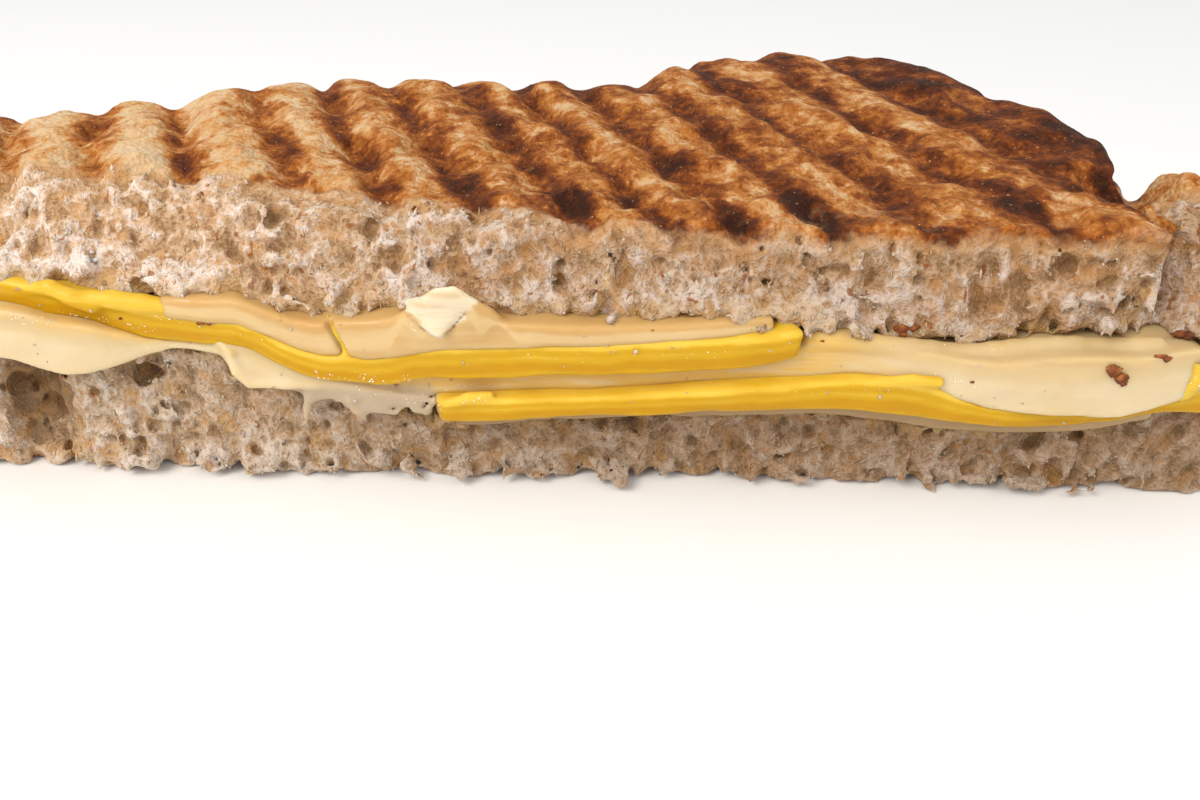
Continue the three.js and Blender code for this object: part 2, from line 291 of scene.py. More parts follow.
class Skin:
    """The surface on which a field is nought, as points and triangles on the field's grid."""

    def __init__(self, field, axes):
        self.axes = axes
        inside = field < 0
        shape = [n - 1 for n in field.shape]
        count = np.zeros(shape, np.uint8)
        for i, j, k in CORNERS:
            count += inside[i : i + shape[0], j : j + shape[1], k : k + shape[2]]
        active = (count > 0) & (count < 8)
        self.cells = np.argwhere(active)
        number = np.full(shape, -1, np.int64)
        number[active] = np.arange(len(self.cells))
        self.local = self.crossing_mean(field)
        self.triangles = np.concatenate([self.faces(inside, number, n) for n in range(3)])
        self.keep_largest()

    def crossing_mean(self, field):
        """The middle of the places where the surface crosses each cell's edges."""
        c = self.cells
        values = [field[c[:, 0] + i, c[:, 1] + j, c[:, 2] + k] for i, j, k in CORNERS]
        total = np.zeros((len(self.cells), 3))
        count = np.zeros(len(self.cells))
        for a, b in CELL_EDGES:
            crossed = (values[a] < 0) != (values[b] < 0)
            t = np.where(crossed, values[a] / np.where(crossed, values[a] - values[b], 1), 0)
            start, end = np.array(CORNERS[a], float), np.array(CORNERS[b], float)
            total += crossed[:, None] * (start + t[:, None] * (end - start))
            count += crossed
        return total / count[:, None]

    def faces(self, inside, number, axis):
        """Two triangles for each grid edge along the axis that the surface crosses."""
        turn = [axis, (axis + 1) % 3, (axis + 2) % 3]
        solid = inside.transpose(turn)
        cell = number.transpose(turn)
        low, high = solid[:-1, 1:-1, 1:-1], solid[1:, 1:-1, 1:-1]
        crossed = np.argwhere(low != high)
        leaving = low[tuple(crossed.T)]
        i, j, k = crossed.T
        ring = [cell[i, j, k], cell[i, j + 1, k], cell[i, j + 1, k + 1], cell[i, j, k + 1]]
        quads = np.stack(ring, 1)
        quads = np.where(leaving[:, None], quads, quads[:, ::-1])
        return np.concatenate([quads[:, [0, 1, 2]], quads[:, [0, 2, 3]]])

    def keep_largest(self):
        """Drops the loose crumbs and sealed bubbles that the relief leaves behind."""
        label = np.arange(len(self.cells))
        a, b = edges_of(self.triangles)
        while True:
            lowest = label.copy()
            np.minimum.at(lowest, a, label[b])
            np.minimum.at(lowest, b, label[a])
            lowest = lowest[lowest]
            if (lowest == label).all():
                break
            label = lowest
        largest = np.bincount(label).argmax()
        kept = label == largest
        renumber = np.cumsum(kept) - 1
        self.triangles = renumber[self.triangles[kept[self.triangles[:, 0]]]]
        self.cells = self.cells[kept]
        self.local = self.local[kept]

    def points(self):
        sides = []
        for n, axis in enumerate(self.axes):
            low, high = axis[self.cells[:, n]], axis[self.cells[:, n] + 1]
            sides.append(low + self.local[:, n] * (high - low))
        return np.stack(sides, 1)

    def sample(self, field):
        """A grid's values at the points of the skin. A flat grid has one value for each x, y."""
        if field.ndim == 2:
            field = np.broadcast_to(field[:, :, None], (*field.shape, len(self.axes[2])))
        total = np.zeros(len(self.cells))
        for corner in CORNERS:
            weight = np.abs(1 - np.array(corner) - self.local).prod(1)
            total += weight * field[tuple((self.cells + corner).T)]
        return total


def merged(points, triangles, values, merge, size):
    """The mesh and its values with the hidden points, where merge is true, drawn together."""
    key = np.floor(points[merge] / size).astype(int)
    group = np.unique(key, axis=0, return_inverse=True)[1].ravel()
    kept = (~merge).sum()
    target = np.empty(len(points), int)
    target[~merge] = np.arange(kept)
    target[merge] = kept + group
    count = kept + group.max() + 1
    total = np.zeros((count, 3))
    np.add.at(total, target, points)
    share = np.bincount(target, minlength=count)
    triangles = target[triangles]
    a, b, c = triangles.T
    whole = (a != b) & (b != c) & (a != c)
    first = np.full(count, -1)
    first[target[::-1]] = np.arange(len(points))[::-1]
    values = {key: value[first] for key, value in values.items()}
    return total / share[:, None], triangles[whole], values


def smoothed(points, triangles, times, share):
    """Each point drawn towards the mean of its neighbours."""
    a, b = edges_of(triangles)
    count = np.bincount(a, minlength=len(points))[:, None]
    for _ in range(times):
        total = np.zeros_like(points)
        for n in range(3):
            total[:, n] = np.bincount(a, points[b, n], minlength=len(points))
        points = points + share * (total / np.maximum(count, 1) - points)
    return points


def placed(name, data):
    """A new object in the scene."""
    thing = bpy.data.objects.new(name, data)
    bpy.context.scene.collection.objects.link(thing)
    return thing


def make_piece(name, points, triangles, material, slot, values):
    """A smooth mesh object with named values on its points, riding on the sandwich."""
    points[:, 2] = np.maximum(points[:, 2], 0)
    mesh = bpy.data.meshes.new(name)
    mesh.from_pydata(points * MM, [], triangles)
    mesh.shade_smooth()
    for key, value in values.items():
        attribute = mesh.attributes.new(key, "FLOAT", "POINT")
        attribute.data.foreach_set("value", value.astype(np.float32))
    mesh.materials.append(material)
    piece = placed(name, mesh)
    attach(piece, "root")
    return piece


# ---- shader nodes


def linear(code, alpha=1):
    """A colour from its six-figure code, as the renderer counts it."""
    parts = [int(code[n : n + 2], 16) / 255 for n in (0, 2, 4)]
    return (*[p / 12.92 if p < 0.04045 else ((p + 0.055) / 1.055) ** 2.4 for p in parts], alpha)


class Tree:
    """Adds nodes to a shader tree and joins them."""

    def __init__(self, tree):
        self.tree = tree

    def add(self, kind, values=None, **settings):
        node = self.tree.nodes.new("ShaderNode" + kind)
        for key, value in settings.items():
            setattr(node, key, value)
        for key, value in (values or {}).items():
            self.put(node.inputs[key], value)
        return node

    def put(self, socket, value):
        """Joins another socket, or sets a value or a colour code."""
        if isinstance(value, bpy.types.NodeSocket):
            self.tree.links.new(value, socket)
        else:
            socket.default_value = linear(value) if isinstance(value, str) else value

    def sum(self, operation, a, b=0):
        return self.add("Math", {0: a, 1: b}, operation=operation).outputs[0]

    def spread(self, value, low, high, to_low=0, to_high=1):
        """The value between low and high, carried smoothly to another range."""
        values = dict(enumerate((value, low, high, to_low, to_high)))
        return self.add("MapRange", values, interpolation_type="SMOOTHSTEP").outputs[0]

    def blend(self, share, a, b, kind="MIX"):
        """A colour between a and b, or b laid over a in another way."""
        values = {0: share, 6: a, 7: b}
        return self.add("Mix", values, data_type="RGBA", blend_type=kind).outputs[2]

    def tint(self, colour, other, *passing):
        """The colour, drawn to another one where a value passes through a range, as in spread."""
        return self.blend(self.spread(*passing), colour, other)

    def mix(self, share, a, b):
        """A number between a and b."""
        return self.add("Mix", {0: share, 2: a, 3: b}, data_type="FLOAT").outputs[0]

    def total(self, *parts):
        """The sum of (value, weight) pairs."""
        result = 0.0
        for value, weight in parts:
            result = self.sum("ADD", result, self.sum("MULTIPLY", value, weight))
        return result

    def mark(self, title):
        """The value of this name that the mesh carries on its points."""
        return self.add("Attribute", attribute_name=title).outputs["Fac"]

    def ramp(self, value, stops):
        """A colour from the value, through (place, colour code) stops."""
        node = self.add("ValToRGB", {"Fac": value})
        elements = node.color_ramp.elements
        while len(elements) < len(stops):
            elements.new(0.5)
        for element, (place, code) in zip(elements, stops):
            element.position = place
            element.color = linear(code)
        return node.outputs["Color"]

    def noise(self, size, detail, roughness, warp=0, stretch=None):
        """Cloudy noise with features of the given size in mm."""
        place = self.stretched(stretch) if stretch else self.place
        values = dict(Vector=place, Scale=1 / (size * MM), Detail=detail)
        values.update(Roughness=roughness, Distortion=warp)
        return self.add("TexNoise", values).outputs["Fac"]

    def walls(self, size):
        """Thin walls round cells of the given size in mm: 1 on a wall, 0 between."""
        off = self.sum("SUBTRACT", self.noise(size, 2, 0.55, 0.4), 0.5)
        return self.spread(self.sum("ABSOLUTE", off), 0, 0.16, 1, 0)

    def stretched(self, scale):
        return self.add("Mapping", {"Vector": self.place, "Scale": scale}).outputs["Vector"]

    def grains(self, size):
        """Grains of the given size in mm: the distance from the middle and a tone for each grain."""
        node = self.add("TexVoronoi", {"Vector": self.place, "Scale": 1 / (size * MM)})
        parts = self.add("SeparateColor", {"Color": node.outputs["Color"]})
        return node.outputs["Distance"], parts.outputs[0]


FINISH = [("Colour", "Color"), ("Roughness", "Float"), ("Height", "Float")]


def effect(name, build, numbers, tints=()):
    """A shader node group that takes a place, numbers and tints, and gives a finish."""
    group = bpy.data.node_groups.new(name, "ShaderNodeTree")
    takes = [("Place", "Vector", None)]
    takes += [(title, "Float", value) for title, value in numbers.items()]
    takes += [(title, "Color", (1, 1, 1, 1)) for title in tints]
    for title, kind, value in takes:
        socket = group.interface.new_socket(title, in_out="INPUT", socket_type="NodeSocket" + kind)
        if value is not None:
            socket.default_value = value
    for title, kind in FINISH:
        group.interface.new_socket(title, in_out="OUTPUT", socket_type="NodeSocket" + kind)
    tree = Tree(group)
    given = group.nodes.new("NodeGroupInput").outputs
    tree.place = given["Place"]
    ends = group.nodes.new("NodeGroupOutput").inputs
    for end, result in zip(ends, build(tree, given)):
        tree.put(end, result)
    return group


def crumb_effect(tree, given):
    """Open wholemeal crumb: pale walls, dusky pockets, warm patches and bran flecks, with painted shade in
    the pits, painted highlights and the slice's painted shade.
    """
    clouds = tree.noise(5, 2, 0.5)
    patches = tree.noise(1.4, 4, 0.68, 0.25, stretch=(1, 1, 0.7))
    fibres = tree.noise(0.55, 3, 0.7, stretch=(1, 1, 0.4))
    walls = tree.walls(0.95)
    pit = given["Pit"]
    # Deep pits lower the tone towards the Pocket colour and standing walls raise it: painted shade in the
    # hollows.
    shares = [(clouds, 0.3), (patches, 0.55), (fibres, 0.45), (walls, 0.14), (pit, -0.26)]
    tone = tree.total(*shares, (1, -0.18))
    colour = tree.tint(given["Pocket"], given["Middle"], tone, 0.24, 0.52)
    colour = tree.tint(colour, given["Peak"], tone, 0.44, 0.74)
    colour = tree.tint(colour, given["Warm"], tree.noise(2.4, 3, 0.6), 0.5, 0.66, 0, 0.6)
    bran = tree.noise(1, 1, 0.4, 0.5, stretch=(1, 1, 0.6))
    colour = tree.tint(colour, "9A5A28", bran, 0.69, 0.75, 0, given["Bran"])
    # Painted highlights: small near-white specks on the crumb, also made smoother.
    glint = tree.spread(tree.noise(0.4, 2, 0.6), 0.68, 0.76, 0, 0.35)
    colour = tree.blend(glint, colour, "F3E9E0")
    # Painted shade: the slice's shade value darkens the crumb.
    colour = tree.blend(given["Shade"], colour, "B2A08C", "MULTIPLY")
    # Painted shade: the deepest pits turn dark brown.
    colour = tree.tint(colour, "7A5230", pit, 1.6, 3.2, 0, 0.85)
    fine = tree.noise(0.3, 2, 0.6)
    height = tree.total((patches, 1.1), (fibres, 0.8), (walls, 0.35), (fine, 0.2))
    return colour, tree.mix(glint, 0.85, 0.5), height


def toast_effect(tree, given):
    """Grilled face: golden lands, dark grooves, frosted patches, granules and buttery glints."""
    tree.place = tree.stretched((1, 0.8, 1))
    patches = tree.noise(5, 2, 0.5)
    mottle = tree.noise(1.7, 3, 0.55)
    away, tone = tree.grains(0.5)
    fine = tree.noise(0.45, 2, 0.6)
    parts = [(patches, 0.4), (mottle, 0.9), (tone, 0.16), (fine, 0.25)]
    offset = -0.5 * sum(weight for _, weight in parts)
    burn = tree.total((given["Burn"], 1), *parts, (1, offset))
    stops = [(0, "C8A274"), (0.18, "BC874E"), (0.36, "A56428"), (0.53, "7E4216")]
    stops += [(0.7, "5A2A0E"), (0.95, "35190B")]
    colour = tree.ramp(burn, stops)
    frosted = tree.total((tree.noise(1.8, 2, 0.55), 0.6), (tree.noise(4.5, 2, 0.5), 0.4))
    pale = tree.spread(frosted, 0.4, 0.62, 0, 0.75)
    pale = tree.sum("MULTIPLY", pale, tree.spread(burn, 0.4, 0.06))
    colour = tree.blend(pale, colour, "CDB28E")
    # Painted highlights: small light buttery glints, also made smoother.
    glint = tree.spread(tree.noise(0.4, 1, 0.5), 0.71, 0.79, 0, 0.5)
    colour = tree.blend(glint, colour, "E4B882")
    height = tree.total((away, -0.6), (mottle, 0.8), (fine, 0.25), (frosted, 0.3))
    return colour, tree.mix(glint, 0.75, 0.35), height


def melt_effect(tree, given):
    """Melted cheese: soft clouds and streaks, deep and pale bands of painted light and shade, with a greasy
    shine.
    """
    clouds = tree.noise(6, 3, 0.55)
    streak = tree.noise(1.2, 3, 0.6, stretch=(0.12, 0.6, 1.5))
    tone = tree.total((clouds, 0.3), (streak, 0.25), (given["Band"], 0.6), (1, -0.075))
    colour = tree.tint(given["Colour"], given["Pale"], tone, 0.5, 0.78)
    colour = tree.tint(colour, given["Deep"], tone, 0.5, 0.22)
    # Painted shade on the white cheese between the yellow slices; a paler flake on the cream slice.
    stain = tree.sum("MULTIPLY", given["Stain"], tree.spread(streak, 0.3, 0.58, 0.5, 1.2))
    colour = tree.blend(stain, colour, given["ShadeAndTintColour"])
    colour = tree.blend(given["Thin"], colour, given["Film"])
    rough = tree.spread(tree.noise(1.6, 3, 0.6), 0.35, 0.65, 0.3, 0.52)
    height = tree.total((streak, 0.2), (clouds, 1.5), (tree.noise(0.8, 2, 0.5), 0.35))
    return colour, rough, height


CRUMB_TINTS = ("Pocket", "Middle", "Peak", "Warm")
MELT_TINTS = ("Colour", "Pale", "Deep", "ShadeAndTintColour", "Film")
FILM_TINT = "B09C82"
CRUMB = effect("open crumb", crumb_effect, dict(Pit=0, Bran=0.8, Shade=0), CRUMB_TINTS)
TOAST = effect("grilled toast", toast_effect, dict(Burn=0.4))
MELT = effect("melted cheese", melt_effect, dict(Band=0.5, Stain=0, Thin=0), MELT_TINTS)


class Material(Tree):
    """A material whose shader takes a colour, a roughness and a relief."""

    def __init__(self, name, scatter, radius, scatter_size, shine):
        self.material = bpy.data.materials.new(name)
        self.material.use_nodes = True
        super().__init__(self.material.node_tree)
        self.shader = self.tree.nodes["Principled BSDF"].inputs
        self.put(self.shader["Subsurface Weight"], scatter)
        self.put(self.shader["Subsurface Radius"], radius)
        self.put(self.shader["Subsurface Scale"], scatter_size)
        self.put(self.shader["Specular IOR Level"], shine)
        self.place = self.add("TexCoord").outputs["Object"]

    def dressed(self, group, **given):
        """An effect with this material's own values."""
        return self.add("Group", {"Place": self.place, **given}, node_tree=group).outputs

    def finished(self, surface, strength, distance):
        """Sends the colour, roughness and relief of a surface to the shader."""
        self.put(self.shader["Base Color"], surface["Colour"])
        self.put(self.shader["Roughness"], surface["Roughness"])
        values = {"Height": surface["Height"], "Strength": strength, "Distance": distance}
        self.put(self.shader["Normal"], self.add("Bump", values).outputs["Normal"])
        return self.material


# How light scatters in the crumb: share, reach of red, green and blue, size in metres, and shine.
CRUMB_BODY = (0.4, (1, 0.65, 0.4), 0.0015, 0.12)


def bread_material(name, tints, skin_depth):
    """Crumb inside, toast on the grilled face and brown crust round the rim."""
    made = Material(name, *CRUMB_BODY)
    crumb = made.dressed(CRUMB, Pit=made.mark("pit"), Shade=made.mark("shade"), **tints)
    toast = made.dressed(TOAST, Burn=made.mark("burn"))
    ragged = made.total((made.noise(2.2, 4, 0.65), 3), (1, -1.5))
    marks = [made.mark(title) for title in ("toast", "cheese", "crust")]
    depth, cheese, rim = [made.sum("ADD", mark, ragged) for mark in marks]
    colour = made.tint(crumb["Colour"], "C2935F", depth, skin_depth, skin_depth + 2.4, 0.6, 0)
    colour = made.tint(colour, "BE9A62", cheese, 0.2, 2.2, 0.5, 0)
    skin = made.spread(depth, skin_depth * 0.3, skin_depth + 0.8, 1, 0)
    browned = made.sum("MAXIMUM", skin, made.spread(rim, 0.8, 2, 1, 0))
    surface = {"Colour": made.blend(browned, colour, toast["Colour"])}
    for title in ("Roughness", "Height"):
        surface[title] = made.mix(browned, crumb[title], toast[title])
    return made.finished(surface, strength=0.9, distance=0.0005)


def lump_material(name, tints):
    """Loose lumps and strands of the same crumb."""
    made = Material(name, *CRUMB_BODY)
    # The lumps carry the painted shade of the slice they stand on.
    crumb = made.dressed(CRUMB, Pit=0.05, Shade=made.mark("shade"), **tints)
    return made.finished(crumb, strength=0.7, distance=0.0003)


def cheese_material(name, codes, scatter, shine, foot, bands):
    """Melted cheese, with bands of painted light and shade. The band is foot at the foot
    of the slice and steps by each (from, to, step) on the way up."""
    made = Material(name, scatter, (1, 0.7, 0.3), 0.0025, shine)
    rise = made.total((made.mark("rise"), 1), (made.noise(3.5, 2, 0.5), 0.3), (1, -0.15))
    band = made.total((1, foot), *[(made.spread(rise, low, high), step) for low, high, step in bands])
    tints = dict(zip(MELT_TINTS, (*codes, FILM_TINT)))
    melt = made.dressed(MELT, Band=band, Stain=made.mark("stain"), Thin=made.mark("thin"), **tints)
    return made.finished(melt, strength=0.3, distance=0.0003)


def fleck_material():
    """Browned specks of toast that stick to the cheese."""
    made = Material("browned flecks", 0, (1, 1, 1), 0.001, 0.4)
    return made.finished(made.dressed(TOAST, Burn=0.52), strength=0.8, distance=0.0002)


def fat_material():
    """Beads of clear fat that sweat out of the melted cheese."""
    made = Material("beads of fat", 0.3, (1, 0.9, 0.6), 0.001, 0.9)
    film = made.noise(0.8, 2, 0.5)
    made.put(made.shader["Base Color"], made.ramp(film, [(0.4, "F6E3B0"), (0.6, "FFF8E4")]))
    made.put(made.shader["Roughness"], made.spread(film, 0.4, 0.6, 0.06, 0.16))
    return made.material


# ---- bread


def groove_share(line):
    """1 in a groove pressed by the grill, 0 on the land between two."""
    stops = np.array([GROOVES[0] - RIDGE_PITCH, *GROOVES, GROOVES[-1] + RIDGE_PITCH])
    above = np.clip(np.searchsorted(stops, line), 1, len(stops) - 1)
    share = (line - stops[above - 1]) / (stops[above] - stops[above - 1])
    share = np.where((line < stops[0]) | (line > GROOVES[-1] + RIDGE_PITCH / 2), 0.5, share)
    return 0.5 + 0.5 * np.cos(2 * np.pi * share)


# How much further down the toasting reaches where the plates pressed the grooves in.
TOAST_IN_GROOVES = 1.1
# Where the browning of the upper slice starts behind the torn edge: along, behind.
BROWNED_FROM = [
    (0, 9), (63, 9), (73, 8), (83, 6), (92, 3.4), (101, 1.4), (130, 1), (140, 1.6), (148.8, 1.8),
    (150.6, 12.5), (165, 12.5),
]


def browned_from(line):
    return np.interp(line, *zip(*BROWNED_FROM))


def burning(points, upper, seed):
    """How dark the grill has toasted each place, from 0 to about 1."""
    behind = points[:, 1] - CUT_Y
    line = points[:, 0] - TIP_X + RIDGE_SLANT * behind
    groove = groove_share(line + 0.6 * mottled(line, behind, (2.5, 4), seed))
    blotch = mottled(line, behind, (1.6, 2.6), seed + 1)
    to_right = rising(line, 28, 104)
    burn = 0.03 + 0.33 * to_right + (0.38 - 0.02 * to_right) * groove**1.7 + 0.06 * blotch
    if not upper:
        return burn + 0.16
    inward = behind - browned_from(line)
    scorched = rising(inward, 0, 1.5) * fading(inward, 5, 13) * rising(line, 40, 62)
    burn += 0.17 * scorched * rising(groove, 0.3, 0.9) * rising(blotch, -0.8, 0.6)
    past_tear = rising(line - 148 - 0.0208 * behind**2, 1.5, 3)
    band = rising(line, 144.5, 149) * rising(behind, 10, 17)
    dark = band * (0.38 - 0.34 * groove**1.3 + 0.05 * blotch)
    return burn + dark * (1 - past_tear) - 0.12 * past_tear


def taken_behind(heights, axes, behind):
    """Heights whose strip next to the cut repeats what lies behind it along the ridges."""
    x, y = axes
    row = np.searchsorted(y, CUT_Y + behind)
    taken = heights.copy()
    for j in range(row):
        taken[:, j] = np.interp(x - RIDGE_SLANT * (y[row] - y[j]), x, heights[:, row])
    return taken


def highest_near(heights, steps):
    """The greatest height within some grid steps to the left and right."""
    padded = np.pad(heights, ((steps, steps), (0, 0)), mode="edge")
    return np.max([padded[n : n + len(heights)] for n in range(2 * steps + 1)], 0)


# Lumps of crumb that hang in front of the cheese: along, front, height, radius.
HANGING = [
    (64.3, 0.9, 21.7, 0.9), (72, 1.1, 22, 0.9), (74, 1.4, 21.2, 0.8), (80.1, 1.5, 20.2, 0.8),
    (89.2, 1.5, 21.2, 0.9), (91.6, 1.5, 20.6, 0.7), (139.6, 2.2, 21, 0.9), (144.5, 2, 21.2, 0.9),
    (104.2, 1.3, 21, 0.9), (107.2, 1.4, 20.6, 0.9), (109.5, 0.9, 20.4, 1.2), (111.6, 0.8, 20.2, 1.2),
    (113.6, 0.8, 20.2, 1.1), (115.8, 0.8, 20.4, 1), (108.9, 0.3, 21.2, 0.8), (110.6, 0, 20.4, 0.9),
    (112.2, 0, 19.4, 0.9),
]
# Soft pockets torn in the cut of each slice: along, behind, height, radius.
POCKETS = {
    "bread_top": [
        (56, 2.6, 29.6, 1.2), (66.5, 0.9, 26.2, 0.9), (76.8, 1, 25.4, 1.1), (118, 0.9, 24.5, 1),
        (121.5, 0.9, 26.4, 0.9), (135.5, 1, 25.8, 1), (108.5, 0.9, 23.6, 0.9), (87.5, 0.9, 22.8, 0.9),
    ],
    "bread_bottom": [
        (42.6, 1.4, 12, 1.3), (33, 3.5, 12.2, 1.8), (29.8, 3.5, 6.5, 1.6), (58.9, 1.1, 10.6, 0.9),
        (74.5, 0.9, 6.6, 0.9), (93.5, 0.8, 7.4, 0.8), (113, 0.8, 6.6, 0.9), (141.5, 0.8, 6.8, 1),
    ],
}
# Ragged tips along each slice's lower edge: from, to, their size and how far they drop.
FRINGES = {"bread_top": (22, 118, 0.75, 1), "bread_bottom": (36, 147, 0.5, 0.6)}
# Painted shade on each slice's crumb, darker towards the right: its share at the left and at the right.
SHADES = {"bread_top": (0, 0.4), "bread_bottom": (0.03, 0.64)}
STEP = 0.42
TEAR_DEPTH = 1.6  # a face this far under the toast next to it is torn
ROOT = 1.6  # how far behind and above the cut a hanging lump starts


def fringe(axes, under, seed, start, end, size, drop):
    """Small ragged tips along the torn lower edge of a slice."""
    draw = default_rng(seed)
    edge = under[:, np.searchsorted(axes[1], CUT_Y + 1.5)]
    for along in np.arange(start, end, 1.15):
        along = along + 0.5 * draw.standard_normal()
        height = max(np.interp(TIP_X + along, axes[0], edge), 1)
        radius = size * (0.5 + 0.55 * draw.random())
        lean = 0.6 * draw.standard_normal()
        reach = size * (0.1 + 0.8 * draw.random())
        tip = at(along + lean, reach, height + 0.3 - drop * draw.random() ** 2)
        yield [(at(along, -ROOT, height + ROOT), 1.3 * radius), (tip, 0.7 * radius)]


def crumb_relief(axes, seed):
    """How far the torn crumb stands out of the cut: lumps, walls and small pits."""
    relief = 0.13 * rumple(axes, (2.6, 2.6, 2.2), seed)
    relief += 0.2 * np.clip(web(axes, (1.1, 1.1, 1.6), seed + 1), -2.4, 1)
    relief += 0.2 * np.clip(web(axes, (0.6, 0.6, 0.9), seed + 2), -2.4, 1)
    return relief + 0.11 * rumple(axes, (0.5, 0.5, 0.7), seed + 3)


def crumb_holes(axes, seed):
    """Open holes of every size up to about 3 mm: above nought inside a hole."""
    large = 0.7 * (rumple(axes, (1.5, 1.5, 1.4), seed) - 1.5)
    small = 0.5 * (rumple(axes, (0.9, 0.9, 1.1), seed + 1) - 1.3)
    return np.maximum(large, small)


def bread_slice(node, seed, material):
    upper = node == "bread_top"
    low, high = [np.array(corner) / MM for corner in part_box(node)]
    axes = [
        np.arange(low[0] - 1.5, high[0] + 1.5, STEP),
        graded_lines(CUT_Y - 4, CUT_Y + 6, high[1] + 1.5, STEP, 0.85),
        np.arange(low[2] - 2.4, high[2] + 1.2, STEP),
    ]
    solid = Solid(node, axes, BREAD_LATTICE)
    x, y, z = np.meshgrid(*axes, indexing="ij", sparse=True)
    right, back = x - TIP_X, y - CUT_Y
    grilled = taken_behind(solid.top if upper else solid.under, axes[:2], 6)
    line = (right + RIDGE_SLANT * back)[:, :, 0]
    if upper:
        tear = TEAR_DEPTH + 1.6 * fading(line, 138, 146)
        grilled = np.maximum(grilled, highest_near(grilled, round(4 / STEP)) - tear)
        bare = 0.8 * (browned_from(line)[:, :, None] - back)
    else:
        bare = 3.2 - back
    under_skin = np.maximum(grilled[:, :, None] - z if upper else z - grilled[:, :, None], bare)
    filling = np.abs(z - (solid.under if upper else solid.top)[:, :, None])

    field = solid.distance + 0.12 * rumple(axes, (7, 7, 5), seed + 1)
    if upper:
        squeezed = fading(filling, 0.3, 3.2) * fading(back, 3, 6)
        field -= 1.2 * squeezed * rising(right, 15, 30) * fading(right, 108, 118)
    whole = field.copy()
    torn = fading(back, 8.5, 11) * rising(under_skin, 0.2, 1.6 if upper else 0.8)
    torn = torn * rising(whole, -5, -4)
    if not upper:
        torn = torn * rising(z, -0.3, 0.7)
    torn = torn * (1 - rising(back, 2.2, 3.6) * fading(filling, 0.8, 1.8))
    rough = 0.3 * rumple(axes, (1, 1, 0.9), seed + 2)
    for along, behind, height, radius in POCKETS[node]:
        hole = np.full_like(field, 9)
        add_strand(hole, axes, [(at(along, -behind, height), radius)] * 2, 0.4, rough)
        field = np.maximum(field, -hole)
    if upper:
        for along, front, height, radius in HANGING:
            tip = (at(along, 0.8 * front, height), 0.8 * radius)
            stops = [(at(along, -ROOT, height + ROOT), 1.3 * radius), tip]
            add_strand(field, axes, stops, 1.2, rough)
    for stops in fringe(axes, solid.under, seed + 12, *FRINGES[node]):
        add_strand(field, axes, stops, 0.9, rough)
    field -= torn * crumb_relief(axes, seed + 3)
    field -= (1 - torn) * fading(back, 20, 40) * 0.18 * rumple(axes, (0.9, 1.3, 0.9), seed + 6)
    field -= (1 - torn) * 0.24 * rumple(axes, (2, 2.6, 2), seed + 7)
    shallow = 1.4 * np.maximum(-whole - 0.3, 0)
    field = np.maximum(field, crumb_holes(axes, seed + 8) + rough - shallow - 4 * (1 - torn))
    field = np.maximum(field, -z)

    skin = Skin(field, axes)
    points = skin.points()
    inner = skin.sample(solid.under if upper else solid.top)
    right, back = points[:, 0] - TIP_X, points[:, 1] - CUT_Y
    crust = skin.sample(solid.crust)
    filling = np.abs(points[:, 2] - inner)
    pit = np.clip(-skin.sample(whole), -0.9, 3)
    # Painted shade: the lower slice's crumb darkens the further it lies behind the cut, as in its hollow.
    if not upper:
        pit = np.maximum(pit, np.clip(0.9 * (back - 1.7), -0.9, 3))
    # Painted shade that darkens the crumb towards the right of the slice.
    painted_shade = SHADES[node]
    values = {
        "toast": skin.sample(under_skin),
        "crust": crust,
        "burn": burning(points, upper, seed + 10),
        "cheese": filling + 8 * rising(right, 144, 150),
        "pit": pit,
        "shade": painted_shade[0] + (painted_shade[1] - painted_shade[0]) * rising(right, 38, 95),
    }
    values["burn"] += 0.12 * fading(crust, 0.6, 2.5) * rising(back, 6, 12)
    values["toast"] -= TOAST_IN_GROOVES * rising(back, 6, 12) * rising(crust, 1, 4)
    hidden = (filling < 1.2) & (back > 4) & (crust > 4)
    points = smoothed(points, skin.triangles, 1, 0.3)
    points, triangles, values = merged(points, skin.triangles, values, hidden, size=3)
    piece = make_piece(node + "_crumb", points, triangles, material, "toasted_bread", values)
    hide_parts(node)
    return piece, values


# ---- small scattered things


def ball(rounds):
    """Points and triangles of a small ball with 20 faces, or 80 in two rounds."""
    shape = bmesh.new()
    bmesh.ops.create_icosphere(shape, subdivisions=rounds, radius=1)
    points = np.array([v.co[:] for v in shape.verts])
    triangles = np.array([[v.index for v in face.verts] for face in shape.faces])
    shape.free()
    return points, triangles


def scattered(name, seats, sizes, material, slot, shade, rounds, roughness, turns, draw):
    """One mesh of many small uneven lumps. sizes are each lump's three radii."""
    shape, triangles = ball(rounds)
    uneven = 1 + roughness * draw.standard_normal((len(seats), len(shape), 1))
    lumps = np.einsum("nij,npj->npi", turns, shape[None] * uneven * sizes[:, None, :])
    points = (lumps + seats[:, None, :]).reshape(-1, 3)
    first_points = len(shape) * np.arange(len(seats))[:, None, None]
    triangles = (triangles[None] + first_points).reshape(-1, 3)
    shades = np.repeat(np.broadcast_to(shade, len(seats)), len(shape))
    return make_piece(name, points, triangles, material, slot, {"shade": shades})


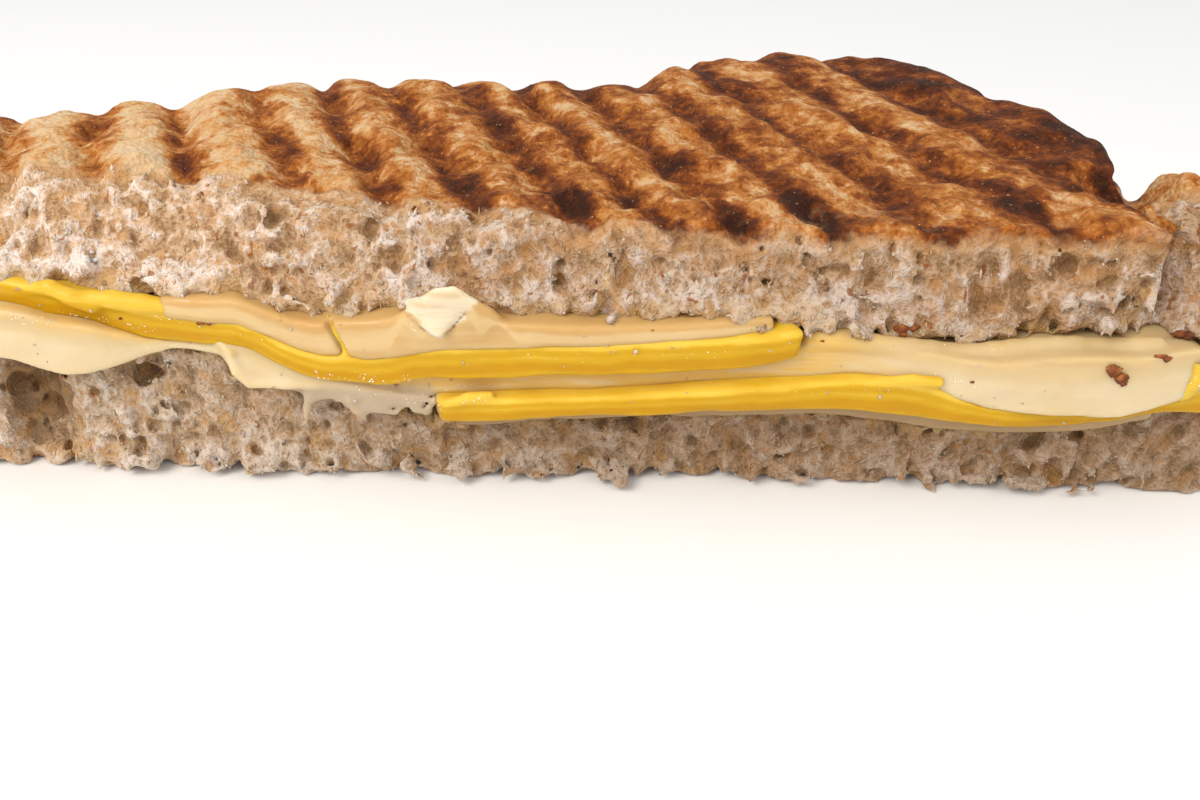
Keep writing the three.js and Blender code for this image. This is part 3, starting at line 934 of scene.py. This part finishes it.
def crumb_lumps(piece, values, name, count, material, seed):
    """Ragged lumps and short strands that stand out of the torn cut."""
    draw = default_rng(seed)
    points, normals = vectors(piece.data, "co") / MM, vectors(piece.data, "normal")
    behind = points[:, 1] - CUT_Y
    cut = (behind < 8) & (normals[:, 1] < 0.3) & (points[:, 2] > 1)
    cut &= (values["toast"] > 1.3) & (values["pit"] < 0.8)
    seats = draw.choice(np.flatnonzero(cut), 2 * count, replace=False)
    seats = seats[np.argsort(values["pit"][seats] + 0.3 * draw.standard_normal(2 * count))[:count]]
    size = 0.1 + 0.18 * draw.random(count) ** 2
    radii = size[:, None] * (0.4 + 0.9 * draw.random((count, 3)))
    upright = draw.random(count) < 0.55
    radii[upright] *= (0.6, 0.8, 1.9)
    turns = np.linalg.qr(draw.standard_normal((count, 3, 3)))[0]
    turns *= np.linalg.det(turns)[:, None, None]
    lean = 0.4 * draw.standard_normal(upright.sum())
    turns[upright] = np.eye(3)
    turns[upright, 0, 0] = turns[upright, 2, 2] = np.cos(lean)
    turns[upright, 0, 2] = np.sin(lean)
    turns[upright, 2, 0] = -np.sin(lean)
    places = points[seats] + 0.1 * size[:, None] * normals[seats]
    shade = values["shade"][seats]
    bumps = dict(rounds=1, roughness=0.25, turns=turns, draw=draw)
    return scattered(name, places, radii, material, "toasted_bread", shade, **bumps)


UPPER_TINTS = dict(Pocket="987450", Middle="C5A27E", Peak="E2D2C6", Warm="C28E56", Bran=0.8)
# The lower slice's tints are darker copies of the upper's: painted shade.
SHADED_LOWER_TINTS = dict(Pocket="8E7356", Middle="B99D80", Peak="CFBFB0", Warm="B68850", Bran=0.6)
upper_slice = bread_slice("bread_top", seed=10, material=bread_material("upper slice", UPPER_TINTS, 1))
lower_slice = bread_slice("bread_bottom", seed=40, material=bread_material("lower slice", SHADED_LOWER_TINTS, 0.3))
crumb_lumps(*upper_slice, "upper_crumb_lumps", 3400, lump_material("upper crumb", UPPER_TINTS), seed=81)
crumb_lumps(*lower_slice, "lower_crumb_lumps", 2200, lump_material("lower crumb", SHADED_LOWER_TINTS), seed=82)


# ---- cheese


def strand(*stops):
    """Stops of a strand from rows of along, front, height and radius."""
    return [(at(along, front, height), radius) for along, front, height, radius in stops]


def sheet(upper, lower, count, radius):
    """Strands side by side from one edge of a sheet to the other. Edges are (along, front, height)."""
    edges = []
    for edge in (upper, lower):
        knots, shares = np.linspace(0, 1, len(edge)), np.linspace(0, 1, count)
        edges.append(zip(*[np.interp(shares, knots, side) for side in zip(*edge)]))
    return [[(at(*start), radius), (at(*end), radius)] for start, end in zip(*edges)]


CURL = sheet([(51.2, 0.6, 17.7), (55, 0.9, 17.2), (61.5, 0.9, 15)],
             [(53.7, 1.6, 13.8), (55, 1.7, 13), (61.8, 1.2, 12.5)], 20, 0.42)
CURL.append(strand((52, 1.2, 17.4, 0.35), (53.2, 1.8, 16.4, 0.55), (53.7, 2, 14.4, 0.6),
                   (54.8, 2, 13, 0.55), (58.4, 1.7, 12.7, 0.5), (61.4, 1.3, 12.3, 0.45)))
FILM = sheet([(60.5, 1, 13.4), (67, 1.2, 12), (74.5, 1.3, 10.8)],
             [(60.2, 0.9, 10.4), (62.4, 0.8, 11), (65.6, 0.8, 9), (68, 0.8, 9.6), (74.4, 0.9, 9.4)],
             17, 0.4)
DRIPS = [
    strand((60.6, 1, 11.6, 0.6), (59.9, 0.8, 9.4, 0.45), (59.4, 0.6, 7.2, 0.3)),
    strand((64.7, 1.1, 10.8, 0.6), (65.2, 0.9, 9.2, 0.5), (66, 0.7, 8.1, 0.35)),
    strand((66.6, 1.2, 11.6, 0.35), (67.6, 1.1, 9.6, 0.45), (69.4, 0.9, 8.9, 0.3)),
    strand((70.4, 1.2, 11.2, 0.3), (71.6, 1.1, 9.8, 0.45), (72.8, 0.9, 9, 0.35)),
]
FLAKE_TOP = [(71.7, 1.8, 22.6), (73.4, 2.4, 23.2), (75.4, 2.6, 23.3), (77.6, 2.4, 23)]
FLAKE_EDGES = [
    (at(71.4, 0, 22), at(73.6, 0, 19.9), 0.14, 2.5),
    (at(75.6, 0, 19.5), at(77.8, 0, 22), 0.14, 2.5),
]
SLIT = (at(63.3, 0, 21.2), at(65.2, 0, 16.4), 0.36, 1.2)
FLAKE = sheet(FLAKE_TOP, [(74.4, 3.5, 20.2), (75.3, 3.6, 19.9)], 9, 0.32)
LEFT_SQUEEZED = [
    strand((33.5, 1, 22.8, 0.7), (36.2, 1.3, 23.2, 0.8), (38.2, 1.5, 22.2, 0.9), (40.2, 1.6, 21.2, 0.7)),
    strand((39.4, 1, 22, 0.8), (42, 1, 21.8, 1), (45, 0.8, 21.3, 1), (47.5, 0.6, 20.9, 0.9)),
    strand((77.3, 0.7, 22.6, 0.5), (78.4, 0.9, 21.6, 0.5), (79.2, 1.2, 20.8, 0.5)),
    strand((63.5, 1, 20.4, 0.3), (64.4, 1.4, 18.6, 0.4), (65.2, 1.55, 16.8, 0.45)),
]
END_FILL = strand((112.2, 0.2, 18.3, 0.9), (114.6, 0.3, 18.3, 1), (118, 0.4, 17.9, 0.8))
RIGHT_SQUEEZED = [
    strand((75.2, 2.2, 11, 0.7), (77.4, 2.4, 12, 0.6), (79.6, 2.3, 12.3, 0.5)),
    strand((118.6, 2.1, 14.5, 0.6), (122, 2.3, 15, 0.6), (124.6, 2.5, 14.9, 0.65)),
    strand((149.2, 1.6, 13.4, 0.8), (150.2, 1.7, 15.4, 0.9), (149.8, 1.5, 17.6, 0.8)),
]


def cheese_slice(node, seed, material, slot, strands=(), slits=(), stain=None, creep=None):
    low, high = [np.array(corner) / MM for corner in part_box(node)]
    axes = [
        np.arange(low[0] - 2.5, high[0] + 2.5, 0.4),
        graded_lines(low[1] - 2, CUT_Y + 4, high[1] + 1.5, 0.32, 1.5),
        np.arange(low[2] - 5.5, high[2] + 3, 0.28),
    ]
    solid = Solid(node, axes, CHEESE_LATTICE)
    field = solid.distance - SWELL
    field += 0.1 * rumple(axes, (6, 4, 3), seed) + 0.04 * rumple(axes, (1.8, 1.6, 1), seed + 1)
    for stops in strands:
        add_strand(field, axes, stops, 0.35)
    if creep:
        rim = solid.top[:, np.searchsorted(axes[1], CUT_Y + 1)]
        heights = [(along, np.interp(TIP_X + along, axes[0], rim)) for along in np.arange(*creep, 2)]
        add_strand(field, axes, strand(*[(along, 0.1, height, 0.9) for along, height in heights]), 0.6)
    for start, end, width, depth in slits:
        cut_slit(field, axes, start, end, width, depth)
    skin = Skin(field, axes)
    points = smoothed(skin.points(), skin.triangles, 3, 0.35)
    under, top = skin.sample(solid.under), skin.sample(solid.top)
    along, front = points[:, 0] - TIP_X, CUT_Y - points[:, 1]
    rise = np.clip((points[:, 2] - under) / np.maximum(top - under, 0.6), 0, 1)
    thin = fading(points[:, 2], 11.4, 13.2) * rising(along, 57, 60) * fading(along, 73, 74.6)
    shade_and_tint_share = stain(along, points[:, 2], rise) if stain else 0 * along
    values = {"rise": rise, "stain": shade_and_tint_share, "thin": thin * (front > -1)}
    hidden = points[:, 1] > CUT_Y + 7
    points, triangles, values = merged(points, skin.triangles, values, hidden, size=1.8)
    piece = make_piece(node + "_melted", points, triangles, material, slot, values)
    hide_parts(node)
    return piece


def tint_and_shade_between_yellow(along, height, rise):
    """The white cheese is drawn to a darker yellow tan between the yellow slices, partly painted shade, and
    under the edge of the left one as painted shade.
    """
    between = 0.24 + 0.62 * rising(along, 64, 72) * fading(along, 110, 124)
    return between + 0.3 * rising(rise, 0.8, 1) * fading(along, 45, 52)


def on_the_flake(along, height, rise):
    """The loose flake on the cream-coloured slice is paler than the slice. It narrows downwards."""
    uneven = 0.35 * np.sin(2.6 * height) + 0.2 * np.sin(5.3 * height + 1.1 * along)
    return rising(height - 19 - np.abs(along - 75 + uneven), -0.2, 0.3)


# The bands paint light and shade by height: the white cheese and the cream darken towards their tops, where
# they lie in shade; the lower strip lightens towards its top.
white = cheese_material("white cheese", ("C9B691", "D6C9AE", "B89E72", "D2AA58"),
                        scatter=0.45, shine=0.4, foot=0.75, bands=[(0.5, 1, -0.5)])
# A darker copy of the white cheese: partly the crumb seen through the thin strip, partly painted shade.
strip = cheese_material("lower white cheese", ("A38862", "B9A07C", "8C7250", "B48E42"),
                        scatter=0.4, shine=0.3, foot=0.3, bands=[(0, 1, 0.5)])
cream = cheese_material("cream cheese slice", ("C09A60", "CEB07E", "BE9254", "D6C8AC"),
                        scatter=0.4, shine=0.35, foot=0.7, bands=[(0.1, 0.35, 0.25), (0.5, 1.2, -0.75)])
# Painted light and shade on the yellow slices: dark at the foot, a lit band halfway up, a darker line and a
# lit top edge.
YELLOW_BANDS = [(0, 0.15, -0.3), (0.3, 0.6, 0.5), (0.62, 0.74, -0.2), (0.78, 1, 0.4)]
yellow = cheese_material("yellow cheese", ("C49810", "DCB742", "B88600", "AC7E02"),
                         scatter=0.25, shine=0.25, foot=0.4, bands=YELLOW_BANDS)

melted = [
    cheese_slice("white_cheese_lower", 60, strip, "white_cheese"),
    cheese_slice("yellow_cheese_right", 62, yellow, "yellow_cheese", RIGHT_SQUEEZED),
    cheese_slice("white_cheese_middle", 64, white, "white_cheese", [*CURL, *FILM, *DRIPS, END_FILL],
                 stain=tint_and_shade_between_yellow, creep=(112, 148)),
    cheese_slice("yellow_cheese_left", 66, yellow, "yellow_cheese", LEFT_SQUEEZED),
    cheese_slice("white_cheese_upper", 68, cream, "cream_cheese", FLAKE,
                 [SLIT, *FLAKE_EDGES], on_the_flake),
]


# Browned flecks on the cheese: along, height and half-size along and up.
FLECKS = [
    (121, 19.2, 0.8, 0.5), (122.2, 19.3, 0.6, 0.35), (121.2, 18.6, 0.45, 0.4), (141, 17, 0.75, 0.6),
    (141.9, 16.2, 0.6, 0.6), (142.3, 15.6, 0.5, 0.35), (145.6, 18.2, 0.8, 0.25), (146.2, 18, 0.4, 0.3),
    (50.8, 19.7, 0.4, 0.25), (51.6, 19.6, 0.35, 0.2), (42.5, 19.8, 0.2, 0.15), (127.9, 15, 0.25, 0.15),
    (148.3, 19.2, 0.8, 0.4), (149.2, 19, 0.6, 0.5), (96, 20, 0.15, 0.1), (112.9, 18.6, 0.2, 0.12),
]
# Where fat beads gather: from along, height, to along, height, with how many and how wide.
BEAD_RUNS = [
    (30, 21, 39, 20, 34, 0.5), (38, 19.9, 46, 18.6, 22, 0.5), (40, 17.4, 44, 16.6, 6, 0.8),
    (61, 14.4, 72, 13.6, 46, 0.9), (66, 12, 74, 10.8, 26, 0.8), (74.5, 12, 80, 12.4, 26, 0.6),
    (71.8, 20.8, 73.2, 20.2, 8, 0.4), (123.5, 18.6, 132, 18.2, 16, 0.5), (124.6, 15.6, 129, 14.6, 14, 0.5),
    (46, 20, 62, 17.6, 18, 0.6), (84, 17, 104, 17.8, 12, 0.8), (100, 13.4, 122, 14, 10, 0.5),
    (148.6, 16, 150, 15, 12, 0.7),
]


def on_the_cheese(name, rows, trees, material, slot, sink, **bumps):
    """Small things seated on the front of the cheese, from rows of along, height and half-sizes."""
    seats, radii = [], []
    for along, height, wide, tall in rows:
        hits = [tree.ray_cast(at(along, 20, height), (0, 1, 0))[0] for tree in trees]
        fronts = [hit.y for hit in hits if hit is not None]
        if fronts:
            thick = 0.7 * min(wide, tall)
            seats.append((TIP_X + along, min(fronts) - sink * thick, height))
            radii.append((wide, thick, tall))
    bumps["turns"] = np.repeat(np.eye(3)[None], len(seats), 0)
    scattered(name, np.array(seats), np.array(radii), material, slot, 0, **bumps)


draw = default_rng(90)
cheese = [surface_tree(piece.data) for piece in melted]
on_the_cheese("browned_flecks", FLECKS, [*cheese, surface_tree(upper_slice[0].data)], fleck_material(),
              "toasted_bread", sink=0.3, rounds=2, roughness=0.2, draw=draw)
beads = []
for from_along, from_height, to_along, to_height, count, spread in BEAD_RUNS:
    share = draw.random((count, 1))
    run = (1 - share) * (from_along, from_height) + share * (to_along, to_height)
    size = 0.035 + 0.055 * draw.random((count, 1)) ** 2
    beads += np.hstack([run + spread * 0.5 * draw.standard_normal((count, 2)), size * 1.2, size]).tolist()
on_the_cheese("fat_beads", beads, cheese, fat_material(), "white_cheese",
              sink=0.1, rounds=2, roughness=0.05, draw=draw)
STUCK = 60  # loose crumbs that stick to the cut
stuck_along, stuck_height = 30 + 118 * draw.random(STUCK), 8.5 + 13 * draw.random(STUCK)
stuck = np.column_stack([stuck_along, stuck_height, 0.08 + 0.2 * draw.random((STUCK, 2)) ** 2])
on_the_cheese("stuck_crumbs", stuck.tolist(), cheese, lump_material("stuck crumb", UPPER_TINTS),
              "toasted_bread", sink=0.3, rounds=1, roughness=0.2, draw=draw)

# ---- camera, light and floor

camera = bpy.data.cameras.new("camera")
camera.lens = 33
camera.sensor_width = 36
camera_object = placed("camera", camera)
camera_object.location = (14.76 * MM, -133.53 * MM, 70.3 * MM)
camera_object.rotation_euler = (math.radians(58.7), 0, math.radians(2.1075))
bpy.context.scene.camera = camera_object
camera.clip_start = 0.001

floor_mesh = bpy.data.meshes.new("floor")
REACH = 6.0  # metres from the middle of the floor to its sides
floor_corners = [(REACH * x, REACH * y, 0) for x, y in ((-1, -1), (1, -1), (1, 1), (-1, 1))]
floor_mesh.from_pydata(floor_corners, [], [(0, 1, 2, 3)])
floor = placed("floor", floor_mesh)
floor.location.z = -0.0002
pale = bpy.data.materials.new("pale floor")
pale.use_nodes = True
pale.node_tree.nodes["Principled BSDF"].inputs["Base Color"].default_value = (0.85, 0.84, 0.82, 1)
floor_mesh.materials.append(pale)


def softbox(name, place, width, power, colour):
    """A square light of the given width in metres, aimed at the sandwich."""
    light = bpy.data.lights.new(name, "AREA")
    light.size = width
    light.energy = power
    light.color = colour
    lamp = placed(name, light)
    lamp.location = place
    lamp.rotation_euler = (Vector((0, 0, 0.02)) - Vector(place)).to_track_quat("-Z", "Y").to_euler()


softbox("key", (-0.26, -0.34, 0.40), width=0.3, power=2.5, colour=(1.0, 0.95, 0.88))
softbox("fill", (0.45, -0.35, 0.5), width=0.6, power=1.2, colour=(1.0, 0.97, 0.93))
world = bpy.data.worlds.new("studio")
world.use_nodes = True
background = world.node_tree.nodes["Background"].inputs
background["Color"].default_value = (0.95, 0.97, 1.0, 1)
background["Strength"].default_value = 0.85
bpy.context.scene.world = world
bpy.context.scene.view_settings.view_transform = "Standard"
